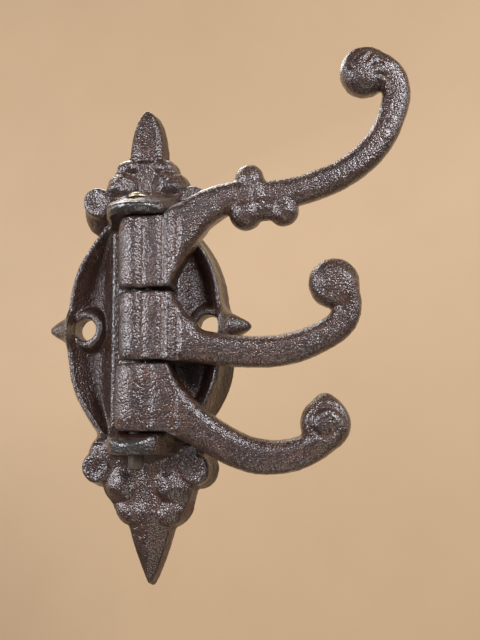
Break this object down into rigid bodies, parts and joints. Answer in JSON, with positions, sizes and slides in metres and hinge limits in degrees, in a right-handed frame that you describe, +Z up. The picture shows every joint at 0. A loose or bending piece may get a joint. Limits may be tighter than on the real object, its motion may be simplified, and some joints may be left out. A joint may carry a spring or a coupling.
{
  "type": "swivel hook",
  "caption": "Wall-mounted cast iron hook rail: ornamental oval back plate with two ears, a vertical hinge pin, and curled coat hooks that swing from side to side on it.",
  "frame": {"origin": "on the back face that sits against the wall, midway between the two screw holes", "axes": "+Z up along the hinge pin, +X to the viewer's right, front faces -Y, wall is y = 0; rest pose has all hooks swung to +X until they stop just off the plate's rim"},
  "size_m": [0.1534, 0.0302, 0.2158],
  "materials": {
    "plate_iron": "sand-cast iron under dark brown-black wax or lacquer, semi-gloss with a pebbled skin",
    "hook_iron": "sand-cast iron under dark brown-black wax or lacquer, semi-gloss with a pebbled skin",
    "pin_steel": "plain turned pin, slightly yellowed"
  },
  "bodies": {
    "plate": {"backplate": "plate_iron", "hinge_pin": "pin_steel"},
    "top_arm": {"top_hook": "hook_iron"},
    "middle_arm": {"middle_hook": "hook_iron"},
    "lower_arm": {"lower_hook": "hook_iron"}
  },
  "joints": [
    {"name": "top_hook_swing", "type": "hinge", "parent": "plate", "child": "top_arm", "pos_m": [0, -0.0192, 0], "axis": [0, 0, -1], "range_deg": [0, 190]},
    {"name": "middle_hook_swing", "type": "hinge", "parent": "plate", "child": "middle_arm", "pos_m": [0, -0.0192, 0], "axis": [0, 0, -1], "range_deg": [0, 190]},
    {"name": "lower_hook_swing", "type": "hinge", "parent": "plate", "child": "lower_arm", "pos_m": [0, -0.0192, 0], "axis": [0, 0, -1], "range_deg": [0, 190]}
  ]
}
